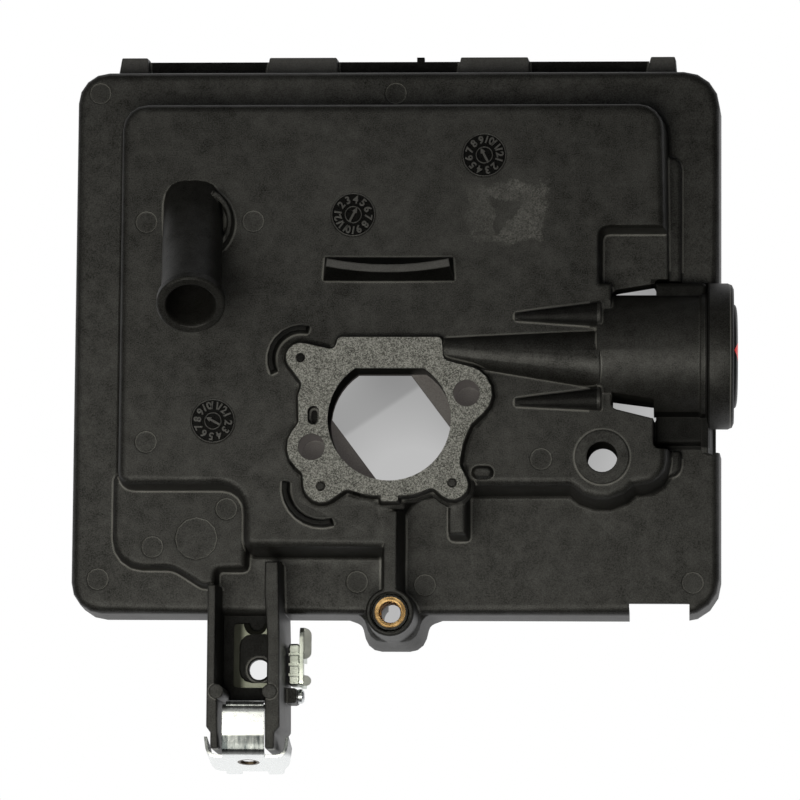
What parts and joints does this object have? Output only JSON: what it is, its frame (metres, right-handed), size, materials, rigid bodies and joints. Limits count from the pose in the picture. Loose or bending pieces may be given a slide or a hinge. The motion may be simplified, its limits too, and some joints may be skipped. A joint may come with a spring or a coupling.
{
  "type": "air filter housing",
  "caption": "Moulded tray-shaped air filter housing of a small engine with a gasketed intake throat, breather elbow, primer bulb and a cable bracket with clamp and clip.",
  "frame": {"origin": "middle of the bounding box's lower face, in the plane of the tray's open rim", "axes": "+Z from the open rim toward the engine, along the intake throat; +X toward the primer bulb; +Y from the cable bracket toward the flange with the cover's hook pads"},
  "size_m": [0.1752, 0.1916, 0.0652],
  "materials": {
    "black_nylon": "fine moulded grain",
    "gasket_paper": "speckled fibre sheet",
    "brass": "turned",
    "black_rubber": "smooth",
    "black_ring": "satin",
    "plated_steel": "pale plated sheet",
    "zinc_steel": "bright zinc"
  },
  "bodies": {
    "housing": {"base_housing": "black_nylon", "carburettor_gasket": "gasket_paper", "cover_screw_insert": "brass", "primer_retaining_ring": "black_ring", "bracket_plate": "plated_steel", "end_clip": "zinc_steel", "cable_clamp_base": "plated_steel", "cable_clamp_strap": "plated_steel", "cable_clamp_screw": "zinc_steel"},
    "bulb": {"primer_bulb": "black_rubber"}
  },
  "joints": [
    {"name": "primer_press", "type": "slide", "parent": "housing", "child": "bulb", "axis": [-1, 0, 0], "range_m": [0, 0.005], "stiffness_N_per_m": 1500}
  ]
}
